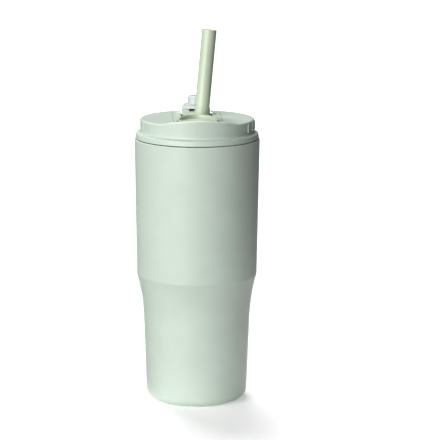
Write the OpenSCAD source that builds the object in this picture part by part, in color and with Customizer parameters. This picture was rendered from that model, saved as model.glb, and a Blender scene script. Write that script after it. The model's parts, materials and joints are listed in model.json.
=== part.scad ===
// Insulated tumbler with a screw lid, a flip-back stopper and a drinking straw.
// Millimetres, Z up. The foot stands on Z = 0 and the drinking side of the lid faces -Y.

/* [Bottle] */
// Radius just above the rounded foot corner
foot_r = 38.75; // [38:0.05:39.5]
// Radius of the rounded foot corner
foot_corner = 7; // [5:0.5:8]
// Radius where the lower wall starts to flare
waist_r = 41.06; // [40.5:0.02:41.5]
// Height where the lower wall starts to flare
waist_z = 63.6; // [60:0.2:66]
// Radius at the crisp shoulder
shoulder_r = 46.4; // [46:0.05:46.8]
// Height of the crisp shoulder
shoulder_z = 98.8; // [96:0.2:102]
// Radius at the rim
rim_r = 47.9; // [47.6:0.05:48.2]
// Height of the bottle without its lid
bottle_h = 204.2; // [204.1:0.05:204.3]
// Thickness of the steel sheet
sheet = 0.7; // [0.5:0.05:0.8]
// Width of the vacuum space between the two walls
vacuum_gap = 3.2; // [3.0:0.1:3.3]

/* [Lid] */
// Height of the flat top of the lid
lid_top = 219.5; // [219.4:0.05:219.6]
// Radius of the flange that meets the bottle
flange_r = 47.2; // [47:0.05:47.4]
// Radius of the drum at its top
drum_r = 43.7; // [43.6:0.05:43.8]
// Height of the raised drinking lip at its middle
lip_top = 223.4; // [222.6:0.1:224]
// Half width of the centre strip
strip_half = 18.6; // [18.4:0.1:18.8]
// Number of grip ribs on each side of the drum
rib_count = 6; // [3:1:7]

/* [Thread] */
// Rise of the lid in one full turn, with two thread starts
thread_lead = 16; // [14:1:18]

/* [Flap] */
// Width of the flap
flap_w = 21.4; // [21:0.1:21.8]
// Radius of the round silicone plug on the flap
plug_r = 6.3; // [6:0.1:6.5]
// Height of the silicone plug above its pad
plug_h = 6.4; // [5:0.1:6.6]
// Radius of the hinge pin
pin_r = 1.2; // [1:0.1:1.4]

/* [Straw] */
// Outer diameter of the straw
straw_d = 11.1; // [10:0.1:11.3]
// Wall thickness of the straw
straw_wall = 1; // [0.8:0.1:1.4]
// Lean of the straw towards +X, in degrees
lean_right = 5.2; // [4.6:0.1:5.3]
// Lean of the straw away from the drinking side, in degrees
lean_back = 2.5; // [2:0.1:2.8]

/* [Hidden] */
$fn = 96;
eps = 0.05;         // gap left between pieces that are joined face to face
big = 200;          // longer than the object is wide

sage = [0.76, 0.82, 0.76];
lime = [0.78, 0.83, 0.74];
steel = [0.74, 0.75, 0.76];
silicone = [0.9, 0.91, 0.92];

// Bottle walls, as angles from the vertical and one circular flare between two straight tapers
lower_angle = atan2(waist_r - foot_r, waist_z - foot_corner);
flare_end = 2 * atan2(shoulder_r - waist_r, shoulder_z - waist_z) - lower_angle;
flare_r = (shoulder_z - waist_z) / (sin(flare_end) - sin(lower_angle));
flare_steps = 14;
rim_round = 0.9;    // rounding of the outer shell at the rim
vessel_out = sheet + vacuum_gap;         // inset of the inner vessel's outer face
vessel_in = vessel_out + sheet;          // inset of the inner vessel's inner face
foot_ring_in = 28;  // inner radius of the ring that the bottle stands on
floor_z = 9;        // underside of the inner vessel's floor
floor_corner = 8.5; // corner radius under the inner floor
weld_z = 24;        // height where the inner vessel's wall meets its base
neck_r = 43.4;      // radius inside the neck
neck_z = 185;       // height where the straight neck starts
neck_blend = 5;     // height over which the wall widens to the neck

// Lid levels
flange_z = bottle_h + 0.55;              // underside of the lid, a fine gap above the rim
flange_top = 209;
drum_foot_r = 43.3;
drum_in = 41.2;     // radius inside the drum
plate = 2.2;        // thickness of the lid's top plate
top_round = 1.6;    // rounding of the drum's top edge
lip_drop = 1.4;     // fall of the lip from its middle to the strip's edges
lip_foot_x = 31.5;  // half width of the whole raised lip
slot_half = strip_half + 0.2;

// Centre strip: pocket for the mouthpiece, channel and well for the flap, port for the straw
strip_r = 41;
strip_bottom = 215;
strip_rise_y = -12; // the strip climbs from here to the front
pocket_half = 16.3;
pocket_play = 0.5;  // gap round the mouthpiece's front
pocket_neck_y = -14;
pocket_floor = 216.6;
channel_half = 12.2;
channel_floor = 217.9;
well_back = 26;
well_front = -6;
well_wall = 1.5;
port_z = 212.8;     // sealing face around the port
port_y = 8.4;
port_half = 8.9;    // half length of the port across the lid
port_end_r = 6.7;   // radius of the port's round ends
port_wall = 1.5;
spigot_wall = 0.7;
spigot_z = 208.6;   // lower end of the port's spigot

// Hinge and flap, drawn folded right back
hinge_y = 20.5;
hinge_z = 219.4;
barrel_r = 2.5;
boss_r = 2;
pin_half = 14.8;
flap_low = 218.3;
flap_high = 225.2;
flap_end_r = 8.5;
flap_front = hinge_y - 1;
pad_t = 0.8;
pad_y = 2 * hinge_y - port_y;            // the port's mirror image behind the hinge
slot_x = 5.5;       // half width of the window above the hinge barrel
slot_low = 217;
slot_high = 223.6;
slot_back = 24.2;

// Mouthpiece
mouth_r = 39.2;     // its front follows this circle
mouth_half = 15.5;
mouth_mid_y = -27;
mouth_taper = 3;    // narrowing of the mouthpiece towards its front
mouth_rear = -1.1;
mouth_low = 217.3;
mouth_rim = 222.5;
basin_r = 11.4;     // radius of the basin at the rim
basin_depth = 3.6;
basin_y = -14.2;

// Screw plug under the lid, and its chimney up to the port
plug_flange_r = 45;
plug_flange_top = 206.8;
skirt_r = 41.6;
skirt_low = 186;
skirt_wall = 2.2;
chimney_half = 9.9;
chimney_r = 7.9;
chimney_wall = 1.4;
chimney_top = 210.6;
gasket_low = 198.6;
gasket_high = 202.8;
gasket_in = 40.6;
gasket_out = 43.1;
thread_low = 187.6;
thread_play = 2;    // height of the female threads above the male ones
male_crest = 42.9;
female_crest = 42.2;
thread_root = 2.6;  // axial width of a thread at its root
thread_tip = 1.1;   // axial width of a thread at its crest
male_turn = 190;    // degrees of one male thread
female_turn = 120;  // degrees of one female thread
thread_step = 10;   // degrees between thread sections

// Straw
straw_foot_z = 11;
straw_top_z = 286;
straw_x = 3.7;      // where the straw's axis crosses the level of the mouthpiece's rim
straw_y = 8.6;
straw_round = 0.4;
straw_length = (straw_top_z - straw_foot_z)
    * norm([tan(lean_right), tan(lean_back), 1]);

// Points on an arc about [x, y], from angle a0 to angle a1
function arc(x, y, r, a0, a1, n = 8) =
    [for (i = [0:n]) let (a = a0 + (a1 - a0) * i / n) [x + r * cos(a), y + r * sin(a)]];

// Radius of the lower wall and of the upper wall at height z
function lower_r(z) = waist_r - (waist_z - z) * tan(lower_angle);
function upper_r(z) = shoulder_r + (rim_r - shoulder_r) * (z - shoulder_z) / (bottle_h - shoulder_z);

// The flare, moved inwards by inset
function flare(inset) = [for (i = [0:flare_steps])
    let (a = lower_angle + (flare_end - lower_angle) * i / flare_steps)
    [waist_r - inset + flare_r * (cos(lower_angle) - cos(a)),
        waist_z + flare_r * (sin(a) - sin(lower_angle))]];

// Smooth step from 0 to 1
function smooth(t) = let (u = min(1, max(0, t))) u * u * (3 - 2 * u);

// Height of the raised lip across the lid, and of the centre strip along it
function lip_z(x) = let (a = abs(x)) a < slot_half
    ? lip_top - lip_drop * pow(a / slot_half, 2)
    : lid_top + (lip_top - lip_drop - lid_top) * smooth((lip_foot_x - a) / (lip_foot_x - slot_half));
function strip_z(y) = lid_top + (lip_top - lip_drop - lid_top) * smooth((strip_rise_y - y) / 29);

function reverse(p) = [for (i = [len(p) - 1:-1:0]) p[i]];

// A flat stadium: half is its half length along X, r is the radius of its round ends
module stadium(half, r) {
    polygon(concat(arc(half - r, 0, r, -90, 90, 12), arc(r - half, 0, r, 90, 270, 12)));
}

// One helical ridge of trapezoid section, with ends that fade into the wall
module thread_ridge(root, crest, low, turn) {
    n = turn / thread_step;
    fade = 2;
    function size(i) = min(1, min(i, n - i) / fade);
    points = [for (i = [0:n]) let (a = i * thread_step, z = low + thread_lead * a / 360,
            k = 0.15 + 0.85 * size(i), c = root + (crest - root) * k)
        each [[root * cos(a), root * sin(a), z - thread_root * k / 2],
            [c * cos(a), c * sin(a), z - thread_tip * k / 2],
            [c * cos(a), c * sin(a), z + thread_tip * k / 2],
            [root * cos(a), root * sin(a), z + thread_root * k / 2]]];
    outward = crest > root;
    faces = concat(
        [for (i = [0:n - 1], j = [0:3]) let (b = 4 * i, k = (j + 1) % 4)
            each [[b + j, b + k, b + 4 + j], [b + k, b + 4 + k, b + 4 + j]]],
        [[3, 2, 1, 0], [4 * n, 4 * n + 1, 4 * n + 2, 4 * n + 3]]);
    polyhedron(points, outward ? faces : [for (f = faces) reverse(f)]);
}

module two_starts() {
    for (start = [0, 180]) rotate([0, 0, start]) children();
}

module outer_shell() {
    foot_in = foot_corner - sheet;
    foot_centre = foot_r - foot_corner;
    color(sage) rotate_extrude() polygon(concat(
        [[foot_ring_in, 0]],
        arc(foot_centre, foot_corner, foot_corner, -90, 0),
        flare(0),
        arc(rim_r - rim_round, bottle_h - rim_round, rim_round, 0, 90, 4),
        [[rim_r - rim_round, bottle_h - sheet], [rim_r - sheet, bottle_h - 2 * sheet]],
        reverse(flare(sheet)),
        arc(foot_centre, foot_corner, foot_in, 0, -90),
        [[foot_ring_in, sheet]]));
}

module base_plate() {
    color(steel) translate([0, 0, sheet + eps]) difference() {
        cylinder(r = foot_ring_in + 3, h = sheet);
        translate([0, 0, -1]) cylinder(r = 2, h = 3);
    }
}

module base_cover() {
    color(sage) translate([0, 0, 0.25]) cylinder(r = foot_ring_in - 0.3, h = 0.45);
}

module vacuum_seal() {
    color(steel) translate([0, 0, sheet + 2 * eps]) {
        cylinder(r = 1.9, h = sheet);
        translate([0, 0, sheet]) cylinder(r1 = 3.4, r2 = 1.6, h = 1);
    }
}

module inner_vessel() {
    lip_in = neck_r + sheet;
    lip_out = rim_r - rim_round - eps;
    color(steel) {
        rotate_extrude() polygon(concat(
            [[lower_r(weld_z) - vessel_in, weld_z]],
            flare(vessel_in),
            [[upper_r(neck_z - neck_blend) - vessel_in, neck_z - neck_blend], [neck_r, neck_z],
                [neck_r, bottle_h], [lip_out, bottle_h], [lip_out, bottle_h - sheet],
                [lip_in, bottle_h - sheet], [lip_in, neck_z],
                [upper_r(neck_z - neck_blend) - vessel_out, neck_z - neck_blend]],
            reverse(flare(vessel_out)),
            [[lower_r(weld_z) - vessel_out, weld_z]]));
        two_starts() thread_ridge(neck_r + 0.2, female_crest, thread_low + thread_play, female_turn);
    }
}

module inner_base() {
    r = lower_r(floor_z + floor_corner) - vessel_out;
    color(steel) rotate_extrude() polygon(concat(
        [[0, floor_z]],
        arc(r - floor_corner, floor_z + floor_corner, floor_corner, -90, 0),
        [[lower_r(weld_z) - vessel_out, weld_z - eps], [lower_r(weld_z) - vessel_in, weld_z - eps]],
        arc(r - floor_corner, floor_z + floor_corner, floor_corner - sheet, 0, -90),
        [[0, floor_z + sheet]]));
}

module getter() {
    color(steel) translate([14, 0, floor_z - 1.5 - eps]) cylinder(r = 4, h = 1.5);
}

module heat_foil() {
    foil = 0.15;
    top = neck_z - neck_blend - 2;
    color("peru") rotate_extrude() polygon(concat(
        [[lower_r(weld_z) - vessel_out + eps, weld_z]],
        flare(vessel_out - eps),
        [[upper_r(top) - vessel_out + eps, top], [upper_r(top) - vessel_out + eps + foil, top]],
        reverse(flare(vessel_out - eps - foil)),
        [[lower_r(weld_z) - vessel_out + eps + foil, weld_z]]));
}

module lid_gasket() {
    mid = (gasket_low + gasket_high) / 2;
    color(silicone) rotate_extrude() polygon([
        [gasket_in, gasket_low + 0.2], [gasket_out - 0.9, gasket_low + 0.2],
        [gasket_out, mid - 1.2], [gasket_out - 0.8, mid], [gasket_out, mid + 1.2],
        [gasket_out - 0.9, gasket_high - 0.2], [gasket_in, gasket_high - 0.2]]);
}

// Solid front view of the raised lip, as deep as the lid
module lip_block(low) {
    xs = [for (i = [-22:22]) i * lip_foot_x / 22];
    rotate([90, 0, 0]) linear_extrude(big / 2)
        polygon(concat([for (x = xs) [x, lip_z(x)]], [[lip_foot_x, low], [-lip_foot_x, low]]));
}

module lid_shell() {
    flange_edge = 0.9;
    skirt_in = flange_r - 2;
    rib_a = 59.3;
    rib_gap = 12.7;
    color(sage) difference() {
        union() {
            rotate_extrude() polygon(concat(
                [[skirt_in, flange_z], [flange_r, flange_z]],
                arc(flange_r - 0.3 - flange_edge, flange_top - flange_edge, flange_edge, 0, 90, 4),
                arc(drum_foot_r + 1.5, flange_top + 1.5, 1.5, 270, 180, 4),
                arc(drum_r - top_round, lid_top - top_round, top_round, 0, 90, 4),
                [[0, lid_top], [0, lid_top - plate], [drum_in, lid_top - plate],
                    [drum_in, flange_top - 2], [skirt_in, flange_top - 2]]));
            intersection() {
                difference() {
                    translate([0, 0, lid_top - 4]) cylinder(r = drum_r - 0.1, h = 12);
                    translate([0, 0, lid_top - 5]) cylinder(r = drum_in, h = 14);
                }
                lip_block(lid_top - 3);
            }
            for (side = [-1, 1], i = [0:rib_count - 1])
                rotate([0, 0, side * (rib_a + i * rib_gap)])
                    translate([-0.35, -drum_r - 0.05, flange_top + 3]) cube([0.7, 1, 6]);
        }
        intersection() {
            translate([0, 0, lid_top - 6]) cylinder(r = drum_in, h = 12);
            translate([-slot_half, -big / 2, lid_top - 6]) cube([2 * slot_half, big, 12]);
        }
        translate([-channel_half, 0, channel_floor - 0.2]) cube([2 * channel_half, big, 12]);
    }
}

// Plan of the pocket: its front follows the drum and it narrows to the channel behind
module pocket_plan() {
    reach = mouth_r + pocket_play;
    spread = asin((mouth_half - mouth_taper + pocket_play) / reach);
    polygon(concat(arc(0, 0, reach, 270 - spread, 270 + spread),
        [[pocket_half, mouth_mid_y], [pocket_half, pocket_neck_y], [channel_half, well_front],
            [channel_half, well_front + 2], [-channel_half, well_front + 2],
            [-channel_half, well_front], [-pocket_half, pocket_neck_y],
            [-pocket_half, mouth_mid_y]]));
}

module centre_strip() {
    ys = [for (i = [0:18]) strip_rise_y - i * (strip_r + strip_rise_y + 1) / 18];
    color(sage) difference() {
        union() {
            intersection() {
                translate([0, 0, strip_bottom]) cylinder(r = strip_r, h = 12);
                translate([-strip_half, 0, 0]) rotate([90, 0, 90]) linear_extrude(2 * strip_half)
                    polygon(concat([[big / 2, strip_bottom - 1], [big / 2, lid_top]],
                        [for (y = ys) [y, strip_z(y)]],
                        [[-big / 2, strip_z(-strip_r - 1)], [-big / 2, strip_bottom - 1]]));
            }
            translate([-channel_half - well_wall, well_front - well_wall, port_z - port_wall])
                cube([2 * (channel_half + well_wall), well_back - well_front + 2 * well_wall, 5]);
            translate([0, port_y, spigot_z]) linear_extrude(port_z - spigot_z)
                stadium(port_half + spigot_wall, port_end_r + spigot_wall);
            for (side = [-1, 1]) translate([side * (channel_half + 0.2), hinge_y, hinge_z])
                rotate([0, side * 90, 0]) cylinder(r = boss_r, h = 3);
        }
        translate([0, 0, pocket_floor]) linear_extrude(12) pocket_plan();
        translate([-channel_half, well_front, port_z])
            cube([2 * channel_half, well_back - well_front, 12]);
        translate([-channel_half, well_back - 1, channel_floor]) cube([2 * channel_half, 30, 12]);
        translate([0, port_y, spigot_z - 1]) linear_extrude(8) stadium(port_half, port_end_r);
        translate([-pin_half, hinge_y, hinge_z]) rotate([0, 90, 0])
            cylinder(r = pin_r + 0.03, h = 2 * pin_half);
    }
}

module lid_plug() {
    color(sage) difference() {
        union() {
            rotate_extrude() polygon([
                [0, skirt_low], [skirt_r - 1, skirt_low], [skirt_r, skirt_low + 1],
                [skirt_r, gasket_low], [gasket_in - 0.1, gasket_low],
                [gasket_in - 0.1, gasket_high], [skirt_r, gasket_high], [skirt_r, flange_z],
                [plug_flange_r, flange_z], [plug_flange_r, plug_flange_top],
                [skirt_r - 3.2, plug_flange_top], [skirt_r - 3.2, skirt_low + skirt_wall],
                [0, skirt_low + skirt_wall]]);
            translate([0, port_y, skirt_low]) linear_extrude(chimney_top - skirt_low)
                stadium(chimney_half + chimney_wall, chimney_r + chimney_wall);
            two_starts() thread_ridge(skirt_r - 0.2, male_crest, thread_low, male_turn);
        }
        translate([0, port_y, skirt_low - 1]) linear_extrude(big)
            stadium(chimney_half, chimney_r);
    }
}

module port_seal() {
    color(silicone) translate([0, port_y, chimney_top + eps]) linear_extrude(0.6) difference() {
        stadium(chimney_half + 1.2, chimney_r + 1.2);
        stadium(chimney_half + 0.2, chimney_r + 0.2);
    }
}

// Plan of the mouthpiece, drawn inset from its rim: round behind, following the drum in front
module mouth_plan(inset) {
    back = [for (i = [0:24]) let (a = i * 180 / 24)
        [(mouth_half - inset) * cos(a), mouth_mid_y + (mouth_rear - mouth_mid_y - inset) * sin(a)]];
    spread = asin((mouth_half - mouth_taper - inset) / (mouth_r - inset));
    front = arc(0, 0, mouth_r - inset, 270 - spread, 270 + spread);
    polygon(concat(back, front));
}

module mouthpiece() {
    ball_r = (pow(basin_r, 2) + pow(basin_depth, 2)) / (2 * basin_depth);
    color(lime) difference() {
        translate([0, 0, mouth_low]) linear_extrude(mouth_rim - mouth_low) mouth_plan(0);
        translate([0, basin_y, mouth_rim + ball_r - basin_depth]) sphere(r = ball_r);
    }
}

module mouthpiece_seal() {
    color(silicone) translate([0, 0, pocket_floor + eps])
        linear_extrude(mouth_low - pocket_floor - 2 * eps) difference() {
            mouth_plan(1);
            mouth_plan(2.2);
        }
}

module hinge_pin() {
    color(steel) translate([eps - pin_half, hinge_y, hinge_z]) rotate([0, 90, 0])
        cylinder(r = pin_r, h = 2 * (pin_half - eps));
}

module flap() {
    half = flap_w / 2;
    color(sage) difference() {
        union() {
            translate([0, 0, flap_low]) linear_extrude(flap_high - flap_low) polygon(concat(
                [[-half, flap_front], [half, flap_front]],
                arc(half - flap_end_r, pad_y, flap_end_r, 0, 90, 8),
                arc(flap_end_r - half, pad_y, flap_end_r, 90, 180, 8)));
            translate([-half, hinge_y, hinge_z]) rotate([0, 90, 0])
                cylinder(r = barrel_r, h = flap_w);
        }
        difference() {
            translate([-slot_x, flap_front - 1, slot_low])
                cube([2 * slot_x, slot_back - flap_front + 1, slot_high - slot_low]);
            translate([-half, hinge_y, hinge_z]) rotate([0, 90, 0])
                cylinder(r = barrel_r, h = flap_w);
        }
        translate([-half - 1, hinge_y, hinge_z]) rotate([0, 90, 0])
            cylinder(r = pin_r + 0.06, h = flap_w + 2);
    }
}

module stopper() {
    edge = 1;
    plug_top = pad_t + plug_h;
    color(silicone) translate([0, pad_y, flap_high + eps]) union() {
        linear_extrude(pad_t) stadium(port_half + 1.4, port_end_r + 1.4);
        rotate_extrude() polygon(concat([[0, pad_t / 2], [plug_r, pad_t / 2]],
            arc(plug_r - edge, plug_top - edge, edge, 0, 90, 5), [[0, plug_top]]));
    }
}

module straw() {
    r = straw_d / 2;
    foot = [straw_x - (mouth_rim - straw_foot_z) * tan(lean_right),
        straw_y - (mouth_rim - straw_foot_z) * tan(lean_back), straw_foot_z];
    color(lime) translate(foot)
        rotate([-atan(tan(lean_back) * cos(lean_right)), lean_right, 0])
            rotate_extrude() polygon([
                [r - straw_wall, straw_round], [r - straw_wall + straw_round, 0],
                [r - straw_round, 0], [r, straw_round],
                [r, straw_length - straw_round], [r - straw_round, straw_length],
                [r - straw_wall + straw_round, straw_length],
                [r - straw_wall, straw_length - straw_round]]);
}

outer_shell();
base_plate();
base_cover();
vacuum_seal();
inner_vessel();
inner_base();
getter();
heat_foil();
lid_gasket();
lid_shell();
centre_strip();
lid_plug();
port_seal();
mouthpiece();
mouthpiece_seal();
hinge_pin();
flap();
stopper();
straw();
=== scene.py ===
"""Insulated tumbler with a tapered foot, a screw lid, a flip-back stopper and a leaning straw.

Lengths are in metres, Z is up, the foot stands on Z = 0 and the drinking side of the lid faces -Y.
"""

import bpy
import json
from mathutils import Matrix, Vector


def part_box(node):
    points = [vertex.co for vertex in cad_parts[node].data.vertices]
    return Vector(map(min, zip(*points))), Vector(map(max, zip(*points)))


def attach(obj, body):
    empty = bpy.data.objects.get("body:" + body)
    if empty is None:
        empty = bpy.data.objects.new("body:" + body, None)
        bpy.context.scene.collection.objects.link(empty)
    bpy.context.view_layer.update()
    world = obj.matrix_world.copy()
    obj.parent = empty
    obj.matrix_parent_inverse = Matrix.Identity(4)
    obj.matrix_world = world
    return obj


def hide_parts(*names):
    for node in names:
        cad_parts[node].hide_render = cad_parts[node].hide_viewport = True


bl_info = {
    "name": "Insulated Tumbler",
    "version": (1, 0, 0),
    "blender": (4, 5, 0),
    "location": "View3D > Sidebar > Tumbler",
    "description": "Builds a steel tumbler with a screw lid, a flip-back stopper and a straw",
    "category": "Object",
}

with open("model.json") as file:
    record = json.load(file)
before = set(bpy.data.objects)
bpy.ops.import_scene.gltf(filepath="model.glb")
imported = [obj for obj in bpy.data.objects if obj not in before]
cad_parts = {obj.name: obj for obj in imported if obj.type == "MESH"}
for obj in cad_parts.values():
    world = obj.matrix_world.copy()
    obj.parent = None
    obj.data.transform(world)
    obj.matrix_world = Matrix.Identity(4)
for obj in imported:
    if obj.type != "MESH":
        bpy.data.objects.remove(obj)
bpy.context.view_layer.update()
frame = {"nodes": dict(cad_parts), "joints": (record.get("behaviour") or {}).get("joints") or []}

import json
from math import asin, atan2, cos, hypot, pi, radians, sin, sqrt, tan

import bpy
from bpy.props import FloatProperty, FloatVectorProperty, IntProperty, PointerProperty
from bpy.types import Operator, Panel, PropertyGroup
from mathutils import Matrix, Vector

MM = 0.001
MERGE = 1e-6                      # points closer than this are one point
SHARP_ANGLE = radians(38)         # edges sharper than this get a fine bevel
SMOOTH_ANGLE = radians(40)        # edges flatter than this are shaded smooth
FLAT_ANGLE = radians(0.5)         # faces of a copied node that are this flat become one
SHELL_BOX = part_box("outer_shell")
LID_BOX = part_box("lid_shell")
MOUTH_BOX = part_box("mouthpiece")
STOPPER_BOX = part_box("stopper")
STRAW_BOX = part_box("straw")


# ---------------------------------------------------------------- sizes and colours

class BottleSizes(PropertyGroup):
    """Driving sizes of the coated steel body."""

    rim_radius: FloatProperty(
        name="Rim Radius", description="Outer radius at the rim",
        default=SHELL_BOX[1].x, unit="LENGTH")
    rim_height: FloatProperty(
        name="Rim Height", description="Height of the rim above the floor",
        default=SHELL_BOX[1].z, unit="LENGTH")
    shoulder_radius: FloatProperty(
        name="Shoulder Radius", description="Outer radius at the crisp shoulder",
        default=46.4 * MM, unit="LENGTH")
    shoulder_height: FloatProperty(
        name="Shoulder Height", description="Height of the crisp shoulder",
        default=98.8 * MM, unit="LENGTH")
    waist_radius: FloatProperty(
        name="Waist Radius", description="Outer radius where the flare starts",
        default=41.06 * MM, unit="LENGTH")
    waist_height: FloatProperty(
        name="Waist Height", description="Height where the flare starts",
        default=63.6 * MM, unit="LENGTH")
    foot_radius: FloatProperty(
        name="Foot Radius", description="Outer radius just above the rounded foot corner",
        default=38.75 * MM, unit="LENGTH")
    foot_corner: FloatProperty(
        name="Foot Corner", description="Radius of the rounded corner at the foot",
        default=7 * MM, unit="LENGTH")
    foot_ring: FloatProperty(
        name="Foot Ring", description="Inner radius of the ring that the bottle stands on",
        default=28 * MM, unit="LENGTH")
    sheet: FloatProperty(
        name="Sheet", description="Thickness of the steel sheet",
        default=0.7 * MM, unit="LENGTH")


class LidSizes(PropertyGroup):
    """Driving sizes of the lid."""

    flat_height: FloatProperty(
        name="Flat Height", description="Height of the flat half-moons on top of the lid",
        default=219.5 * MM, unit="LENGTH")
    lip_height: FloatProperty(
        name="Lip Height", description="Height of the drinking lip at its middle",
        default=LID_BOX[1].z, unit="LENGTH")
    lip_half: FloatProperty(
        name="Lip Half Width", description="Half width of the whole raised lip",
        default=31.5 * MM, unit="LENGTH")
    flange_radius: FloatProperty(
        name="Flange Radius", description="Outer radius of the flange that meets the bottle",
        default=LID_BOX[1].x, unit="LENGTH")
    flange_height: FloatProperty(
        name="Flange Height", description="Height of the flange's flat top",
        default=209 * MM, unit="LENGTH")
    drum_radius: FloatProperty(
        name="Drum Radius", description="Outer radius of the drum at its top",
        default=43.7 * MM, unit="LENGTH")
    drum_wall: FloatProperty(
        name="Drum Wall", description="Thickness of the drum's wall",
        default=2.5 * MM, unit="LENGTH")
    rib_count: IntProperty(
        name="Ribs", description="Grip ribs on each side of the drum", default=6, min=1, max=7)
    rib_start: FloatProperty(
        name="First Rib", description="Angle of the first grip rib from the drinking side",
        default=radians(59.3), subtype="ANGLE")
    rib_gap: FloatProperty(
        name="Rib Gap", description="Angle between two grip ribs",
        default=radians(12.7), subtype="ANGLE")


class StrawSizes(PropertyGroup):
    """Driving sizes of the straw."""

    diameter: FloatProperty(
        name="Diameter", description="Outer diameter of the straw",
        default=11.1 * MM, unit="LENGTH")
    wall: FloatProperty(
        name="Wall", description="Wall thickness of the straw", default=1 * MM, unit="LENGTH")


class Finishes(PropertyGroup):
    """Colours of the coat, the plastics and the silicones."""

    sage: FloatVectorProperty(
        name="Sage", description="Colour of the powder coat and of the lid",
        default=(0.515, 0.60, 0.525), subtype="COLOR", size=3)
    lime: FloatVectorProperty(
        name="Lime", description="Colour of the straw and the mouthpiece",
        default=(0.50, 0.575, 0.435), subtype="COLOR", size=3)
    cool_white: FloatVectorProperty(
        name="Cool White", description="Colour of the stopper's silicone",
        default=(0.48, 0.505, 0.515), subtype="COLOR", size=3)
    clear_grey: FloatVectorProperty(
        name="Clear Grey", description="Colour of the translucent seals",
        default=(0.62, 0.66, 0.65), subtype="COLOR", size=3)
    steel: FloatVectorProperty(
        name="Steel", description="Colour of the bare stainless steel",
        default=(0.62, 0.61, 0.60), subtype="COLOR", size=3)
    copper: FloatVectorProperty(
        name="Copper", description="Colour of the heat foil",
        default=(0.83, 0.46, 0.28), subtype="COLOR", size=3)


class StageSettings(PropertyGroup):
    """Camera and lamps."""

    distance: FloatProperty(
        name="Camera Distance", description="Distance from the camera to the bottle's axis",
        default=1.509, unit="LENGTH")
    height: FloatProperty(
        name="Camera Height", description="Height of the camera above the floor",
        default=0.444, unit="LENGTH")
    turn: FloatProperty(
        name="Camera Turn", description="Angle of the camera round the bottle",
        default=radians(2.3), subtype="ANGLE")
    tilt: FloatProperty(
        name="Camera Tilt", description="Angle of the camera below the horizontal",
        default=radians(11.39), subtype="ANGLE")
    roll: FloatProperty(
        name="Camera Roll", description="Roll of the camera about its own axis",
        default=radians(0.18), subtype="ANGLE")
    lens: FloatProperty(
        name="Lens", description="Focal length in millimetres on a 36 mm sensor", default=163.1)
    shift: FloatProperty(
        name="Shift", description="Sideways shift that sets the object left of the middle",
        default=0.0523)
    key_turn: FloatProperty(
        name="Key Turn", description="Angle of the key light round the bottle, from the front",
        default=radians(-37), subtype="ANGLE")
    key_height: FloatProperty(
        name="Key Height", description="Angle of the key light above the horizontal",
        default=radians(17), subtype="ANGLE")
    key_power: FloatProperty(
        name="Key Power", description="Strength of the key light", default=3.95)
    key_spread: FloatProperty(
        name="Key Spread", description="Angle that the key light fills, which softens it",
        default=radians(60), subtype="ANGLE")
    top_turn: FloatProperty(
        name="Top Turn", description="Angle of the top light round the bottle, from the front",
        default=radians(-165), subtype="ANGLE")
    top_height: FloatProperty(
        name="Top Height", description="Angle of the top light above the horizontal",
        default=radians(60), subtype="ANGLE")
    top_power: FloatProperty(
        name="Top Power", description="Strength of the top light", default=2.7)
    top_spread: FloatProperty(
        name="Top Spread", description="Angle that the top light fills, which softens it",
        default=radians(30), subtype="ANGLE")
    rear_turn: FloatProperty(
        name="Rear Turn", description="Angle of the rear light round the bottle, from the front",
        default=radians(178), subtype="ANGLE")
    rear_height: FloatProperty(
        name="Rear Height", description="Angle of the rear light, negative for one from below",
        default=radians(-26), subtype="ANGLE")
    rear_power: FloatProperty(
        name="Rear Power", description="Strength of the rear light", default=2.1)
    rear_spread: FloatProperty(
        name="Rear Spread", description="Angle that the rear light fills, which softens it",
        default=radians(35), subtype="ANGLE")
    fill: FloatProperty(
        name="Fill", description="Strength of the even light from all round", default=0.1)
    card_place: FloatVectorProperty(
        name="Card Place", description="Middle of the round card under the floor",
        default=(0.152, 0.04, -0.5 * MM), size=3, subtype="TRANSLATION")
    card_radius: FloatProperty(
        name="Card Radius", description="Radius of the card that throws light back up",
        default=0.206, unit="LENGTH")
    floor_radius: FloatProperty(
        name="Floor Radius", description="Radius of the floor that is seen",
        default=14, unit="LENGTH")
    glow: FloatProperty(
        name="Floor Glow", description="Light of the floor's own, which lightens its shadows",
        default=0.3)


# ---------------------------------------------------------------- outlines

def rounded(corners, steps=6):
    """Points of a closed outline. A corner is (x, z) or (x, z, radius), which becomes an arc."""
    points = []
    for i, corner in enumerate(corners):
        here = Vector(corner[:2])
        if len(corner) == 2:
            points.append(here)
            continue
        back = (Vector(corners[i - 1][:2]) - here).normalized()
        ahead = (Vector(corners[(i + 1) % len(corners)][:2]) - here).normalized()
        half = back.angle(ahead) / 2
        middle = here + (back + ahead).normalized() * (corner[2] / sin(half))
        start = here + back * (corner[2] / tan(half)) - middle
        turn = (here + ahead * (corner[2] / tan(half)) - middle).angle_signed(start)
        points += [middle + Matrix.Rotation(turn * k / steps, 2) @ start for k in range(steps + 1)]
    return points


def walked(points, longest):
    """The same closed outline with no side longer than the given length."""
    made = []
    for here, there in zip(points, points[1:] + points[:1]):
        parts = max(1, round((there - here).length / longest))
        made += [here.lerp(there, k / parts) for k in range(parts)]
    return made


def smooth_step(t):
    t = min(1, max(0, t))
    return t * t * (3 - 2 * t)


# ---------------------------------------------------------------- modelling by operators

def deselect():
    if bpy.context.object and bpy.context.object.mode != "OBJECT":
        bpy.ops.object.mode_set(mode="OBJECT")
    bpy.ops.object.select_all(action="DESELECT")


def start_piece(name):
    """Names the primitive that was just added and leaves it in edit mode, selected all over."""
    piece = bpy.context.object
    piece.name = name
    bpy.ops.object.transform_apply(location=True, rotation=True, scale=True)
    bpy.ops.object.mode_set(mode="EDIT")
    bpy.ops.mesh.select_mode(type="VERT")
    bpy.ops.mesh.select_all(action="SELECT")
    return piece


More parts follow.
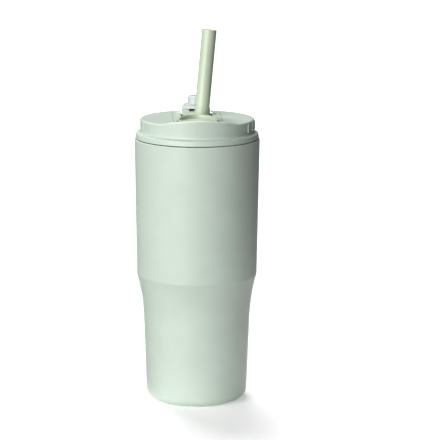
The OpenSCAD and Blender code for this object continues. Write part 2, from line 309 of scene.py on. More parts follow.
def pick(piece, test, kind="FACE"):
    """Selects, in edit mode, only the faces or edges that pass test(place, normal).

    A face is tested at its centre. An edge passes if both its ends do, and it has no normal.
    """
    bpy.ops.object.mode_set(mode="EDIT")
    bpy.ops.mesh.select_mode(type=kind)
    bpy.ops.mesh.select_all(action="DESELECT")
    bpy.ops.object.mode_set(mode="OBJECT")
    mesh = piece.data
    if kind == "FACE":
        for face in mesh.polygons:
            face.select = test(face.center, face.normal)
    else:
        for edge in mesh.edges:
            ends = [mesh.vertices[v].co for v in edge.vertices]
            edge.select = all(test(end, None) for end in ends)
    bpy.ops.object.mode_set(mode="EDIT")


def draw_line(name, points):
    """A plane merged to one point and extruded along the line, point by point, and closed."""
    deselect()
    bpy.ops.mesh.primitive_plane_add(size=MM)
    piece = start_piece(name)
    bpy.ops.mesh.merge(type="CENTER")
    bpy.ops.transform.translate(value=points[0])
    for here, there in zip(points, points[1:] + points[:1]):
        bpy.ops.mesh.extrude_vertices_move(TRANSFORM_OT_translate={"value": there - here})
    clean()
    return piece


def clean():
    """Merges doubled points and turns every face outwards, in edit mode."""
    bpy.ops.mesh.select_all(action="SELECT")
    bpy.ops.mesh.remove_doubles(threshold=MERGE)
    bpy.ops.mesh.normals_make_consistent(inside=False)


def spin_outline(name, outline, steps, centre=Vector(), axis=Vector((0, 0, 1)),
                 side=Vector((1, 0, 0))):
    """Spins a closed outline of (radius, height) points round an axis."""
    piece = draw_line(name, [centre + side * p.x + axis * p.y for p in outline])
    bpy.ops.mesh.spin(steps=steps, angle=2 * pi, center=centre, axis=axis, use_auto_merge=True)
    clean()
    bpy.ops.mesh.delete_loose(use_verts=False, use_edges=True, use_faces=False)
    bpy.ops.object.mode_set(mode="OBJECT")
    return piece


def extrude(offset=(0, 0, 0)):
    bpy.ops.mesh.extrude_region_move(TRANSFORM_OT_translate={"value": offset})


def steps_in(steps):
    """Insets the selected face again and again: each step is (inwards, upwards)."""
    for inwards, upwards in steps:
        bpy.ops.mesh.inset(thickness=inwards, depth=upwards)


def lift(piece, height, share):
    """Raises the points by height times share(place), through a weighted Displace modifier."""
    bpy.ops.object.mode_set(mode="OBJECT")
    group = piece.vertex_groups.new(name="lift")
    for point in piece.data.vertices:
        group.add([point.index], share(point.co), "REPLACE")
    change = piece.modifiers.new("lift", "DISPLACE")
    change.direction, change.strength, change.mid_level = "Z", height, 0
    change.vertex_group = group.name
    apply_modifiers(piece)
    piece.vertex_groups.clear()


def apply_modifiers(piece):
    deselect()
    bpy.context.view_layer.objects.active = piece
    piece.select_set(True)
    for modifier in list(piece.modifiers):
        bpy.ops.object.modifier_apply(modifier=modifier.name)


def cut(piece, tool):
    """Cuts one closed mesh with another and removes the tool."""
    change = piece.modifiers.new("cut", "BOOLEAN")
    change.object, change.operation, change.solver = tool, "DIFFERENCE", "EXACT"
    apply_modifiers(piece)
    bpy.data.objects.remove(tool)


def soften(piece, width, segments=2):
    """Breaks the sharp edges with a fine bevel and shades the rest smooth."""
    bevel = piece.modifiers.new("edges", "BEVEL")
    bevel.width, bevel.segments = width, segments
    bevel.limit_method, bevel.angle_limit = "ANGLE", SHARP_ANGLE
    bevel.use_clamp_overlap, bevel.miter_outer = True, "MITER_ARC"
    apply_modifiers(piece)
    shade(piece)


def shade(piece):
    """Smooth shading with flat faces kept flat."""
    deselect()
    bpy.context.view_layer.objects.active = piece
    piece.select_set(True)
    bpy.ops.object.shade_smooth_by_angle(angle=SMOOTH_ANGLE)
    piece.modifiers.new("flats", "WEIGHTED_NORMAL").keep_sharp = True
    apply_modifiers(piece)


def join(pieces):
    """Joins several meshes into the first one."""
    deselect()
    for piece in pieces:
        piece.select_set(True)
    bpy.context.view_layer.objects.active = pieces[0]
    bpy.ops.object.join()


def finish_piece(piece, body, node, material):
    """Gives a finished piece its material, hangs it on its body and hides the node it replaces."""
    deselect()
    piece.data.materials.clear()
    piece.data.materials.append(material)
    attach(piece, body)
    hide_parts(node)


# ---------------------------------------------------------------- materials

class Finish:
    """A material whose nodes are added one after another, with Object coordinates to start from."""

    def __init__(self, name, colour, rough, **sockets):
        self.material = bpy.data.materials.new(name)
        self.material.use_nodes = True
        self.nodes, self.links = self.material.node_tree.nodes, self.material.node_tree.links
        self.shader = self.nodes["Principled BSDF"]
        self.shader.inputs["Base Color"].default_value = (*colour, 1)
        self.shader.inputs["Roughness"].default_value = rough
        for socket, value in sockets.items():
            self.shader.inputs[socket.replace("_", " ")].default_value = value
        self.place = self.nodes.new("ShaderNodeTexCoord").outputs["Object"]
        self.bump = None

    def stretched(self, scale):
        """Object coordinates scaled along each axis."""
        mapping = self.nodes.new("ShaderNodeMapping")
        mapping.inputs["Scale"].default_value = scale
        self.links.new(self.place, mapping.inputs["Vector"])
        return mapping.outputs["Vector"]

    def noise(self, scale, detail=2.0, place=None):
        texture = self.nodes.new("ShaderNodeTexNoise")
        texture.inputs["Scale"].default_value = scale
        texture.inputs["Detail"].default_value = detail
        self.links.new(place or self.place, texture.inputs["Vector"])
        return texture.outputs["Fac"]

    def spread(self, value, low, high):
        """Maps a noise pattern from its usual range, 0.3 to 0.7, to another range."""
        remap = self.nodes.new("ShaderNodeMapRange")
        for socket, number in (("From Min", 0.3), ("From Max", 0.7), ("To Min", low),
                               ("To Max", high)):
            remap.inputs[socket].default_value = number
        self.links.new(value, remap.inputs["Value"])
        return remap.outputs["Result"]

    def tint(self, value, dark, light):
        """Colours the surface between two colours by a pattern."""
        mix = self.nodes.new("ShaderNodeMix")
        mix.data_type = "RGBA"
        mix.inputs["A"].default_value = (*dark, 1)
        mix.inputs["B"].default_value = (*light, 1)
        self.links.new(self.spread(value, 0, 1), mix.inputs["Factor"])
        self.links.new(mix.outputs["Result"], self.shader.inputs["Base Color"])

    def roughen(self, value, low, high):
        self.links.new(self.spread(value, low, high), self.shader.inputs["Roughness"])

    def raise_by(self, value, height, strength=1.0):
        """Adds a bump of that height, on top of the ones before it."""
        bump = self.nodes.new("ShaderNodeBump")
        bump.inputs["Distance"].default_value = height
        bump.inputs["Strength"].default_value = strength
        self.links.new(value, bump.inputs["Height"])
        if self.bump:
            self.links.new(self.bump, bump.inputs["Normal"])
        self.bump = bump.outputs["Normal"]
        self.links.new(self.bump, self.shader.inputs["Normal"])


def shaded(colour, factor):
    """A lighter or darker copy of a colour."""
    return tuple(min(1, channel * factor) for channel in colour)


def powder_coat(colours):
    """Matt powder coat: orange peel, a fine grain and a little unevenness in tone and gloss."""
    coat = Finish("sage_powder_coat", colours.sage, 0.44, Specular_IOR_Level=0.45)
    coat.tint(coat.noise(60, 3), shaded(colours.sage, 0.975), shaded(colours.sage, 1.02))
    coat.roughen(coat.noise(900, 2), 0.40, 0.50)
    coat.raise_by(coat.noise(520, 2), 0.012 * MM, 0.6)
    coat.raise_by(coat.noise(3200, 2), 0.012 * MM, 0.6)
    return coat.material


def lid_plastic(colours):
    """Satin moulded plastic with a very fine spark-eroded grain."""
    plastic = Finish("sage_lid_plastic", colours.sage, 0.4, Subsurface_Weight=0.04,
                     Subsurface_Scale=1.5 * MM)
    plastic.tint(plastic.noise(45, 2), shaded(colours.sage, 0.98), shaded(colours.sage, 1.02))
    plastic.roughen(plastic.noise(1500, 3), 0.36, 0.46)
    plastic.raise_by(plastic.noise(4200, 2), 0.008 * MM, 0.6)
    return plastic.material


def straw_plastic(colours):
    """Smooth, slightly translucent plastic with faint drawing lines along its length."""
    plastic = Finish("lime_straw_plastic", colours.lime, 0.3, Subsurface_Weight=0.08,
                     Subsurface_Scale=1.5 * MM, Coat_Weight=0.1, Coat_Roughness=0.3)
    along = plastic.stretched((1, 1, 0.02))
    plastic.tint(plastic.noise(30, 2), shaded(colours.lime, 0.97), shaded(colours.lime, 1.02))
    plastic.roughen(plastic.noise(700, 2, along), 0.25, 0.36)
    plastic.raise_by(plastic.noise(1100, 2, along), 0.005 * MM, 0.4)
    return plastic.material


def mouthpiece_plastic(colours):
    """The straw's plastic, moulded, with a very fine even grain."""
    plastic = Finish("lime_moulded_plastic", colours.lime, 0.34, Subsurface_Weight=0.06,
                     Subsurface_Scale=1 * MM)
    plastic.tint(plastic.noise(40, 2), shaded(colours.lime, 0.98), shaded(colours.lime, 1.02))
    plastic.roughen(plastic.noise(1500, 3), 0.30, 0.40)
    plastic.raise_by(plastic.noise(4000, 2), 0.004 * MM, 0.5)
    return plastic.material


def silicone(name, colour, rough):
    """Soft silicone with a skin-fine grain and a little scattering below the surface."""
    rubber = Finish(name, colour, rough, Subsurface_Weight=0.06, Subsurface_Scale=0.6 * MM)
    rubber.tint(rubber.noise(80, 3), shaded(colour, 0.97), shaded(colour, 1.02))
    rubber.roughen(rubber.noise(1200, 3), rough - 0.05, rough + 0.06)
    rubber.raise_by(rubber.noise(2600, 3), 0.01 * MM, 0.6)
    return rubber.material


def turned_steel(name, colour, rough):
    """Stainless steel with fine turned rings."""
    metal = Finish(name, colour, rough, Metallic=1.0, Anisotropic=0.35)
    rings = metal.stretched((0.03, 0.03, 1))
    metal.tint(metal.noise(1400, 4, rings), shaded(colour, 0.9), shaded(colour, 1.06))
    metal.roughen(metal.noise(2400, 3, rings), rough - 0.07, rough + 0.09)
    metal.raise_by(metal.noise(3000, 3, rings), 0.01 * MM, 0.5)
    return metal.material


def sheet_steel(colours):
    """Plain stainless steel with a cloudy mill finish."""
    metal = Finish("mill_steel", colours.steel, 0.36, Metallic=1.0)
    metal.tint(metal.noise(120, 5), shaded(colours.steel, 0.88), shaded(colours.steel, 1.06))
    metal.roughen(metal.noise(500, 5), 0.28, 0.46)
    metal.raise_by(metal.noise(1800, 4), 0.008 * MM, 0.5)
    return metal.material


def copper_foil(colours):
    """Thin bright foil with small creases."""
    foil = Finish("creased_copper_foil", colours.copper, 0.22, Metallic=1.0)
    foil.tint(foil.noise(150, 4), shaded(colours.copper, 0.85), shaded(colours.copper, 1.08))
    foil.roughen(foil.noise(300, 4), 0.16, 0.32)
    foil.raise_by(foil.noise(260, 5), 0.05 * MM, 0.6)
    return foil.material


def seal_resin():
    """Dark sealing resin, a little blistered."""
    dark, light = (0.05, 0.04, 0.03), (0.10, 0.08, 0.06)
    resin = Finish("dark_seal_resin", dark, 0.5)
    resin.tint(resin.noise(900, 3), dark, light)
    resin.roughen(resin.noise(1500, 3), 0.4, 0.6)
    resin.raise_by(resin.noise(1200, 4), 0.05 * MM, 0.7)
    return resin.material


def pale_paper(name, glow):
    """Plain pale paper with the faintest unevenness, lit a little from behind."""
    paper = Finish(name, (0.85, 0.85, 0.85), 0.9, Specular_IOR_Level=0.2,
                   Emission_Color=(1, 1, 1, 1), Emission_Strength=glow)
    paper.tint(paper.noise(3, 2), (0.845, 0.845, 0.845), (0.855, 0.855, 0.855))
    return paper.material


# ---------------------------------------------------------------- pieces

class TUMBLER_OT_finishes(Operator):
    """Makes the materials and puts them on the nodes that keep their own shape"""

    bl_idname = "tumbler.finishes"
    bl_label = "Finishes"

    KEPT = {
        "base_plate": "mill_steel",
        "base_cover": "sage_powder_coat",
        "vacuum_seal": "dark_seal_resin",
        "inner_vessel": "turned_liner",
        "inner_base": "turned_liner",
        "getter": "mill_steel",
        "heat_foil": "creased_copper_foil",
        "lid_gasket": "soft_clear_silicone",
        "lid_plug": "sage_lid_plastic",
        "port_seal": "soft_clear_silicone",
        "mouthpiece_seal": "soft_clear_silicone",
        "hinge_pin": "mill_steel",
    }

    def execute(self, context):
        colours = context.scene.tumbler_finishes
        powder_coat(colours)
        lid_plastic(colours)
        straw_plastic(colours)
        mouthpiece_plastic(colours)
        silicone("soft_white_silicone", colours.cool_white, 0.42)
        silicone("soft_clear_silicone", colours.clear_grey, 0.36)
        turned_steel("turned_liner", colours.steel, 0.26)
        sheet_steel(colours)
        copper_foil(colours)
        seal_resin()
        for node, material in self.KEPT.items():
            frame["nodes"][node].material_slots[0].material = bpy.data.materials[material]
        return {"FINISHED"}


class TUMBLER_OT_body(Operator):
    """Coated outer body: rounded foot, slight taper, circular flare, crisp shoulder and rim"""

    bl_idname = "tumbler.body"
    bl_label = "Body"

    RIM_ROUND = 0.9 * MM        # radius of the rolled rim's outer corner
    RIM_FLAT = 0.1 * MM         # width of the flat beside it
    SHOULDER_ROUND = 0.8 * MM
    FLARE_STEPS = 12
    LONGEST_SIDE = 6 * MM
    SPIN_STEPS = 224

    def execute(self, context):
        size = context.scene.tumbler_bottle
        low_angle = atan2(size.waist_radius - size.foot_radius,
                          size.waist_height - size.foot_corner)
        rise = size.shoulder_height - size.waist_height
        run = size.shoulder_radius - size.waist_radius
        end_angle = 2 * atan2(run, rise) - low_angle
        flare_radius = rise / (sin(end_angle) - sin(low_angle))

        def wall(inset):
            """The flare, from the waist to the shoulder, moved inwards."""
            points = []
            for i in range(self.FLARE_STEPS):
                angle = low_angle + (end_angle - low_angle) * i / self.FLARE_STEPS
                points.append((
                    size.waist_radius - inset + flare_radius * (cos(low_angle) - cos(angle)),
                    size.waist_height + flare_radius * (sin(angle) - sin(low_angle))))
            return points + [
                (size.shoulder_radius - inset, size.shoulder_height, self.SHOULDER_ROUND)]

        sheet, rim, top = size.sheet, size.rim_radius, size.rim_height
        rim_edge = rim - self.RIM_ROUND - self.RIM_FLAT
        outline = rounded([
            (size.foot_ring, 0),
            (size.foot_radius, 0, size.foot_corner),
            *wall(0),
            (rim, top, self.RIM_ROUND),
            (rim_edge, top),
            (rim_edge, top - sheet),
            (rim - sheet, top - 2 * sheet),
            *reversed(wall(sheet)),
            (size.foot_radius - sheet, sheet, size.foot_corner - sheet),
            (size.foot_ring, sheet)])
        shell = spin_outline("coated_body", walked(outline, self.LONGEST_SIDE), self.SPIN_STEPS)
        shade(shell)
        finish_piece(shell, "bottle", "outer_shell",
                     bpy.data.materials["sage_powder_coat"])
        return {"FINISHED"}


class TUMBLER_OT_lid_cap(Operator):
    """Lid shell: flange, drum, half-moon tops that sweep up to the drinking lip, and grip ribs"""

    bl_idname = "tumbler.lid_cap"
    bl_label = "Lid Cap"

    SLOT_HALF = 18.8 * MM       # half width of the slot that the centre strip fills
    PLATE = 2.2 * MM            # thickness of the half-moon tops
    EDGE_SHARE = 0.641          # share of the lip's rise that is left at the slot's edges
    SWEEP_START = -12 * MM      # the tops start to rise at this Y
    SWEEP_LENGTH = 29 * MM      # and reach the lip's full height this far in front of it
    RISING_DEPTH = 1.7 * MM     # only what is this near to the top rises with the lip
    EDGE_BREAK = 0.32 * MM
    LONGEST_SIDE = 3 * MM
    SPIN_STEPS = 288

    def execute(self, context):
        lid = context.scene.tumbler_lid
        cap = self.make_ring(lid)
        self.fill_half_moons(cap, lid)
        rise = lid.lip_height - lid.flat_height
        lift(cap, rise, lambda at: self.lip_share(at, lid))
        self.notch_rear(cap, lid)
        soften(cap, self.EDGE_BREAK)
        rib = self.make_rib(lid)
        ribs = [self.turned_copy(rib, side * (lid.rib_start + i * lid.rib_gap))
                for side in (-1, 1) for i in range(lid.rib_count)]
        bpy.data.objects.remove(rib)
        join([cap, *ribs])
        finish_piece(cap, "lid", "lid_shell", bpy.data.materials["sage_lid_plastic"])
        return {"FINISHED"}

    def lip_share(self, at, lid):
        """How much of the lip's full rise the lid's top has at a place, from 0 to 1."""
        if at.z < lid.flat_height - self.RISING_DEPTH:
            return 0
        across = abs(at.x)
        if across < self.SLOT_HALF:
            share = 1 - (1 - self.EDGE_SHARE) * (across / self.SLOT_HALF) ** 2
        else:
            share = self.EDGE_SHARE * smooth_step(
                (lid.lip_half - across) / (lid.lip_half - self.SLOT_HALF))
        return share * smooth_step((self.SWEEP_START - at.y) / self.SWEEP_LENGTH)

    def make_ring(self, lid):
        """Flange and drum, spun, and split where the centre strip's slot meets them."""
        under, flat, flange_wall = LID_BOX[0].z, lid.flat_height, 2 * MM
        inside, skirt = lid.drum_radius - lid.drum_wall, lid.flange_radius - flange_wall
        flange_draft, drum_draft = 0.55 * MM, 0.45 * MM
        under_round, flange_round, fillet, top_round = 0.25 * MM, 1.1 * MM, 1.6 * MM, 1.3 * MM
        outline = rounded([
            (skirt, under),
            (lid.flange_radius, under, under_round),
            (lid.flange_radius - flange_draft, lid.flange_height, flange_round),
            (lid.drum_radius - drum_draft, lid.flange_height, fillet),
            (lid.drum_radius, flat, top_round),
            (inside, flat),
            (inside, flat - self.PLATE),
            (inside, lid.flange_height - flange_wall),
            (skirt, lid.flange_height - flange_wall)])
        ring = spin_outline("lid_cap", walked(outline, self.LONGEST_SIDE), self.SPIN_STEPS)
        for side in (-1, 1):
            pick(ring, lambda at, normal: True)
            bpy.ops.mesh.bisect(plane_co=(side * self.SLOT_HALF, 0, 0), plane_no=(1, 0, 0))
        bpy.ops.object.mode_set(mode="OBJECT")
        return ring

    def fill_half_moons(self, cap, lid, steps=14):
        """Grows the top plate inwards from the drum to both edges of the slot."""
        reach, slot_half = lid.drum_radius - lid.drum_wall + 0.01 * MM, self.SLOT_HALF
        plate_bottom = lid.flat_height - self.PLATE
        for side in (-1, 1):
            pick(cap, lambda at, normal: (
                at.z > plate_bottom and side * at.x > slot_half
                and hypot(at.x, at.y) < reach and abs(normal.z) < 0.1))
            for step in range(steps, 0, -1):
                extrude()
                bpy.ops.transform.resize(value=((step - 1) / step, 1, 1),
                                         center_override=(side * slot_half, 0, 0))
        clean()
        bpy.ops.object.mode_set(mode="OBJECT")

    @staticmethod
    def notch_rear(cap, lid):
        """Opens the rear of the drum's top for the flap."""
        half, depth, length, height = 12.2 * MM, 1.8 * MM, 12 * MM, 10 * MM
        deselect()
        bpy.ops.mesh.primitive_cube_add(
            size=1, location=(0, lid.drum_radius, lid.flat_height - depth + height / 2),
            scale=(2 * half, length, height))
        tool = start_piece("notch_tool")
        bpy.ops.object.mode_set(mode="OBJECT")
        cut(cap, tool)

    @staticmethod
    def make_rib(lid):
        """One slim grip rib with rounded ends, on the drum's drinking side."""
        wide, deep, proud, edge_round = 0.8 * MM, 1.4 * MM, 0.5 * MM, 0.34 * MM
        gap_below, gap_above = 2.4 * MM, 1.2 * MM
        low, high = lid.flange_height + gap_below, lid.flat_height - gap_above
        deselect()
        bpy.ops.mesh.primitive_cube_add(
            size=1, location=(0, deep / 2 - proud - lid.drum_radius, (low + high) / 2),
            scale=(wide, deep, high - low))
        rib = start_piece("rib")
        bpy.ops.mesh.bevel(offset=edge_round, segments=4, affect="EDGES")
        bpy.ops.object.mode_set(mode="OBJECT")
        shade(rib)
        return rib

    @staticmethod
    def turned_copy(rib, angle):
        """A copy of the rib with a mesh of its own, turned to its place on the drum."""
        deselect()
        bpy.context.view_layer.objects.active = rib
        rib.select_set(True)
        bpy.ops.object.duplicate(linked=False)
        copy = bpy.context.object
        copy.rotation_euler.z = angle
        bpy.ops.object.transform_apply(location=False, rotation=True, scale=False)
        return copy


class TUMBLER_OT_centre_strip(Operator):
    """Strip across the lid, with the mouthpiece's pocket, the flap's channel and the port"""

    bl_idname = "tumbler.centre_strip"
    bl_label = "Centre Strip"

    EDGE_BREAK = 0.3 * MM

    def execute(self, context):
        strip = softened_copy("centre_strip", "lid_strip", self.EDGE_BREAK)
        finish_piece(strip, "lid", "centre_strip",
                     bpy.data.materials["sage_lid_plastic"])
        return {"FINISHED"}


def softened_copy(node, name, width, top_width=0):
    """A merged copy of a CAD node with its flats joined and its edges broken.

    A top_width rounds the outline of its highest flat by that much first.
    """
    source = frame["nodes"][node]
    piece = bpy.data.objects.new(name, source.data.copy())
    bpy.context.scene.collection.objects.link(piece)
    deselect()
    bpy.context.view_layer.objects.active = piece
    piece.select_set(True)
    bpy.ops.mesh.customdata_custom_splitnormals_clear()
    bpy.ops.object.mode_set(mode="EDIT")
    clean()
    bpy.ops.mesh.dissolve_limited(angle_limit=FLAT_ANGLE)
    if top_width:
        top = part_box(node)[1].z - MERGE
        pick(piece, lambda at, normal: at.z > top, "EDGE")
        bpy.ops.mesh.bevel(offset=top_width, segments=6, affect="EDGES", clamp_overlap=True)
    bpy.ops.object.mode_set(mode="OBJECT")
    soften(piece, width)
    return piece


class TUMBLER_OT_mouthpiece(Operator):
    """Shallow drinking mouthpiece: a round-backed bowl behind a broad front land"""

    bl_idname = "tumbler.mouthpiece"
    bl_label = "Mouthpiece"

    BACK_CENTRE = -27 * MM      # the round back is drawn about this Y
    BOWL_CENTRE = -14 * MM      # the bowl's rings shrink towards this Y
    EDGE_BREAK = 0.4 * MM
    RIM = 1.1 * MM              # thickness of the rim behind and beside the bowl
    LAND = 23.5 * MM            # distance from the axis to the land's rear edge, at its middle
    TIP = (12.9 * MM, 33 * MM)  # where the bowl's crescent ends on either side
    BOWL = [                    # share of the bowl's outline and height above its rim, ring by ring
        (1, 1 * MM), (1, -0.25 * MM), (0.99, -0.9 * MM), (0.975, -1.7 * MM), (0.945, -2.5 * MM),
        (0.89, -3.2 * MM), (0.79, -3.75 * MM), (0.62, -4.1 * MM), (0.4, -4.25 * MM),
        (0.18, -4.3 * MM)]

    def execute(self, context):
        mouth = self.make_block()
        cut(mouth, self.make_bowl())
        soften(mouth, self.EDGE_BREAK, 3)
        finish_piece(mouth, "lid", "mouthpiece",
                     bpy.data.materials["lime_moulded_plastic"])
        return {"FINISHED"}

    def round_back(self, inset, steps=60):
        """The round rear edge, from one side to the other, moved inwards."""
        half, rear, middle = MOUTH_BOX[1].x, MOUTH_BOX[1].y, self.BACK_CENTRE
        return [((half - inset) * cos(i * pi / steps),
                 middle + (rear - inset - middle) * sin(i * pi / steps))
                for i in range(steps + 1)]

    def make_block(self):
        """The solid mouthpiece, with its front edge on the lid's curve and its corners rounded."""
        low, high = MOUTH_BOX[0].z, MOUTH_BOX[1].z
        front, taper, corner = -MOUTH_BOX[0].y, 3 * MM, 1.5 * MM
        spread, steps = asin((MOUTH_BOX[1].x - taper) / front), 30
        turns = [1.5 * pi - spread + 2 * spread * i / steps
                 for i in (0, *range(3, steps - 2), steps)]
        lead = [(front * cos(turn), front * sin(turn)) for turn in turns]
        lead[0], lead[-1] = (*lead[0], corner), (*lead[-1], corner)
        outline = rounded(self.round_back(0) + lead)
        block = draw_line("mouthpiece_bowl", [Vector((*point, low)) for point in outline])
        bpy.ops.mesh.edge_face_add()
        extrude((0, 0, high - low))
        clean()
        bpy.ops.object.mode_set(mode="OBJECT")
        return block

    def make_bowl(self):
        """The hollow of the bowl as a solid: a crescent that narrows as it goes down."""
        rim, tip_round, steps = MOUTH_BOX[1].z, 0.5 * MM, 14
        reach, tip = self.TIP
        lead = [(reach * i / steps, -self.LAND - (tip - self.LAND) * (i / steps) ** 2)
                for i in range(-steps, steps + 1)]
        lead[0], lead[-1] = (*lead[0], tip_round), (*lead[-1], tip_round)
        outline = rounded(self.round_back(self.RIM) + lead)
        start = rim + self.BOWL[0][1]
        bowl = draw_line("bowl_tool", [Vector((*point, start)) for point in outline])
        bpy.ops.mesh.edge_face_add()
        for before, after in zip(self.BOWL, self.BOWL[1:]):
            extrude((0, 0, after[1] - before[1]))
            bpy.ops.transform.resize(value=(after[0] / before[0], after[0] / before[0], 1),
                                     center_override=(0, self.BOWL_CENTRE, rim))
        bpy.ops.mesh.merge(type="CENTER")
        clean()
        bpy.ops.object.mode_set(mode="OBJECT")
        return bowl


class TUMBLER_OT_flap(Operator):
    """Flap folded right back, with its hinge barrel in a window"""

    bl_idname = "tumbler.flap"
    bl_label = "Flap"

    EDGE_BREAK = 0.45 * MM
    TOP_ROUND = 1.7 * MM

    def execute(self, context):
        flap = softened_copy("flap", "stopper_flap", self.EDGE_BREAK, self.TOP_ROUND)
        finish_piece(flap, "flap", "flap", bpy.data.materials["sage_lid_plastic"])
        return {"FINISHED"}


class TUMBLER_OT_stopper(Operator):
    """Silicone stopper: a round plug with a spread foot on a long pad"""

    bl_idname = "tumbler.stopper"
    bl_label = "Stopper"

    TRIM = 0.9 * MM             # taken off the pad all round, to clear the flap's rounded edge
    PAD = 0.8 * MM              # thickness of the pad
    PAD_EDGE = [                # the pad's rounded edge, step by step: inwards and upwards
        (0.1 * MM, 0.2 * MM), (0.25 * MM, 0.15 * MM)]
    PLUG_RADIUS = 6.3 * MM
    SUNK = 0.3 * MM             # height at which the plug starts, inside the pad
    FOOT_SPREAD = 0.8 * MM      # the plug is this much wider where it leaves the pad
    FOOT_HEIGHT = 1.2 * MM
    FOOT_ROUND = 0.5 * MM
    DRAFT = 0.2 * MM            # the plug is this much narrower at its top
    TOP_ROUND = 1.7 * MM

    def execute(self, context):
        low, high = STOPPER_BOX
        middle = Vector((0, (low.y + high.y) / 2, low.z))
        pad = self.make_pad(middle, high.x - self.TRIM, (high.y - low.y) / 2 - self.TRIM)
        radius, top = self.PLUG_RADIUS, high.z - low.z
        outline = rounded([
            (0, self.SUNK),
            (radius + self.FOOT_SPREAD, self.SUNK),
            (radius, self.FOOT_HEIGHT, self.FOOT_ROUND),
            (radius - self.DRAFT, top, self.TOP_ROUND),
            (0, top)])
        plug = spin_outline("plug", outline, 96, middle)
        shade(plug)
        join([pad, plug])
        finish_piece(pad, "flap", "stopper",
                     bpy.data.materials["soft_white_silicone"])
        return {"FINISHED"}

    def make_pad(self, middle, half, end_radius):
        """A stadium-shaped pad with rounded edges."""
        ends = half - end_radius
        outline = [middle + Vector((side * ends + end_radius * cos(turn),
                                    end_radius * sin(turn), 0))
                   for side, start in ((1, -pi / 2), (-1, pi / 2))
                   for turn in (start + i * pi / 32 for i in range(33))]
        pad = draw_line("stopper_plug", outline)
        bpy.ops.mesh.edge_face_add()
        extrude((0, 0, self.PAD - sum(upwards for inwards, upwards in self.PAD_EDGE)))
        steps_in(self.PAD_EDGE)
        clean()
        bpy.ops.object.mode_set(mode="OBJECT")
        shade(pad)
        return pad


class TUMBLER_OT_straw(Operator):
    """Leaning straw with softly rounded ends"""

    bl_idname = "tumbler.straw"
    bl_label = "Straw"

    def execute(self, context):
        size = context.scene.tumbler_straw
        joint = next(j for j in frame["joints"] if j["name"] == "straw_slide")
        axis = Vector(joint["axis"]).normalized()
        outer, inner = size.diameter / 2, size.diameter / 2 - size.wall
        low, high = STRAW_BOX
        side = (Vector((1, 0, 0)) - axis * axis.x).normalized()
        reach = Vector([outer * sqrt(1 - share ** 2) for share in axis])
        foot = low + reach          # the middle of the straw's lower end
        length = (high.z - low.z - 2 * reach.z) / axis.z
        outer_round, inner_round = 0.45 * MM, 0.35 * MM
        outline = rounded([
            (inner, 0, inner_round), (outer, 0, outer_round),
            (outer, length, outer_round), (inner, length, inner_round)])
        longest = 12 * MM
        straw = spin_outline("straw_tube", walked(outline, longest), 96, foot, axis, side)
        shade(straw)
        finish_piece(straw, "straw", "straw",
                     bpy.data.materials["lime_straw_plastic"])
        return {"FINISHED"}


# ---------------------------------------------------------------- stage

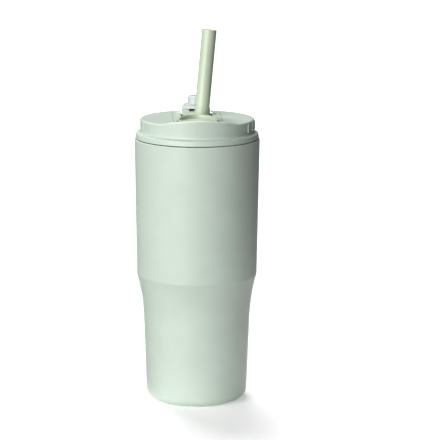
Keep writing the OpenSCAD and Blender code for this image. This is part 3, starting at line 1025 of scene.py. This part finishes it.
class TUMBLER_OT_stage(Operator):
    """Pale floor, soft lamps and the camera"""

    bl_idname = "tumbler.stage"
    bl_label = "Stage"

    def execute(self, context):
        stage = context.scene.tumbler_stage
        self.make_disc("floor", stage.floor_radius, (0, 0, 0), stage.glow, True)
        self.make_disc("card", stage.card_radius, stage.card_place, 0, False)
        self.make_fill(stage.fill)
        self.make_lamp("key_light", stage.key_turn, stage.key_height, stage.key_power,
                       stage.key_spread)
        self.make_lamp("top_light", stage.top_turn, stage.top_height, stage.top_power,
                       stage.top_spread)
        self.make_lamp("rear_light", stage.rear_turn, stage.rear_height, stage.rear_power,
                       stage.rear_spread)
        self.make_camera(stage)
        context.scene.view_settings.view_transform = "Standard"
        return {"FINISHED"}

    @staticmethod
    def make_disc(name, radius, place, glow, seen):
        """The floor that is seen, or the card just under it that lights the side in the shade.

        Neither casts a shadow, so the rear light shines up through them.
        """
        deselect()
        bpy.ops.mesh.primitive_circle_add(vertices=96, radius=radius, fill_type="NGON",
                                          location=place)
        disc = start_piece(name)
        bpy.ops.object.mode_set(mode="OBJECT")
        disc.data.materials.append(pale_paper("pale_" + name, glow))
        disc.visible_diffuse = not seen
        disc.visible_glossy = not seen
        disc.visible_shadow = False

    @staticmethod
    def make_fill(strength):
        world = bpy.data.worlds.new("studio")
        bpy.context.scene.world = world
        world.use_nodes = True
        sky = world.node_tree.nodes["Background"].inputs
        sky["Color"].default_value = (1, 1, 1, 1)
        sky["Strength"].default_value = strength

    @staticmethod
    def make_lamp(name, turn, height, power, spread):
        """A wide soft light from far away. A negative turn is to the left of the front."""
        deselect()
        bpy.ops.object.light_add(type="SUN")
        lamp = bpy.context.object
        lamp.name = name
        lamp.data.energy, lamp.data.angle = power, spread
        lamp.rotation_euler = (pi / 2 - height, 0, turn)

    @staticmethod
    def make_camera(stage):
        place = Vector((-stage.distance * sin(stage.turn), -stage.distance * cos(stage.turn),
                        stage.height))
        deselect()
        bpy.ops.object.camera_add(location=place)
        camera = bpy.context.object
        camera.rotation_euler = (
            Matrix.Rotation(-stage.turn, 3, "Z") @ Matrix.Rotation(pi / 2 - stage.tilt, 3, "X")
            @ Matrix.Rotation(stage.roll, 3, "Z")).to_euler()
        camera.data.lens, camera.data.sensor_width = stage.lens, 36
        camera.data.shift_x = stage.shift
        camera.data.clip_start, camera.data.clip_end = 0.05, 60
        bpy.context.scene.camera = camera


# ---------------------------------------------------------------- panel and registration

STEPS = (
    TUMBLER_OT_finishes, TUMBLER_OT_stage, TUMBLER_OT_body, TUMBLER_OT_lid_cap,
    TUMBLER_OT_centre_strip, TUMBLER_OT_mouthpiece, TUMBLER_OT_flap, TUMBLER_OT_stopper,
    TUMBLER_OT_straw,
)

GROUPS = {
    "tumbler_bottle": BottleSizes,
    "tumbler_lid": LidSizes,
    "tumbler_straw": StrawSizes,
    "tumbler_finishes": Finishes,
    "tumbler_stage": StageSettings,
}


class TUMBLER_PT_panel(Panel):
    """Lists the pieces in the order they are made"""

    bl_label = "Tumbler"
    bl_idname = "TUMBLER_PT_panel"
    bl_space_type = "VIEW_3D"
    bl_region_type = "UI"
    bl_category = "Tumbler"

    def draw(self, context):
        for step in STEPS:
            self.layout.operator(step.bl_idname)
        for name, group in GROUPS.items():
            box = self.layout.box()
            box.label(text=group.__name__)
            for key in group.__annotations__:
                box.prop(getattr(context.scene, name), key)


def register():
    for cls in (*GROUPS.values(), *STEPS, TUMBLER_PT_panel):
        bpy.utils.register_class(cls)
    for name, group in GROUPS.items():
        setattr(bpy.types.Scene, name, PointerProperty(type=group))


def unregister():
    for name in GROUPS:
        delattr(bpy.types.Scene, name)
    for cls in reversed((*GROUPS.values(), *STEPS, TUMBLER_PT_panel)):
        bpy.utils.unregister_class(cls)


def main():
    register()
    for step in STEPS:
        area, name = step.bl_idname.split(".")
        getattr(getattr(bpy.ops, area), name)()


if __name__ == "__main__":
    main()
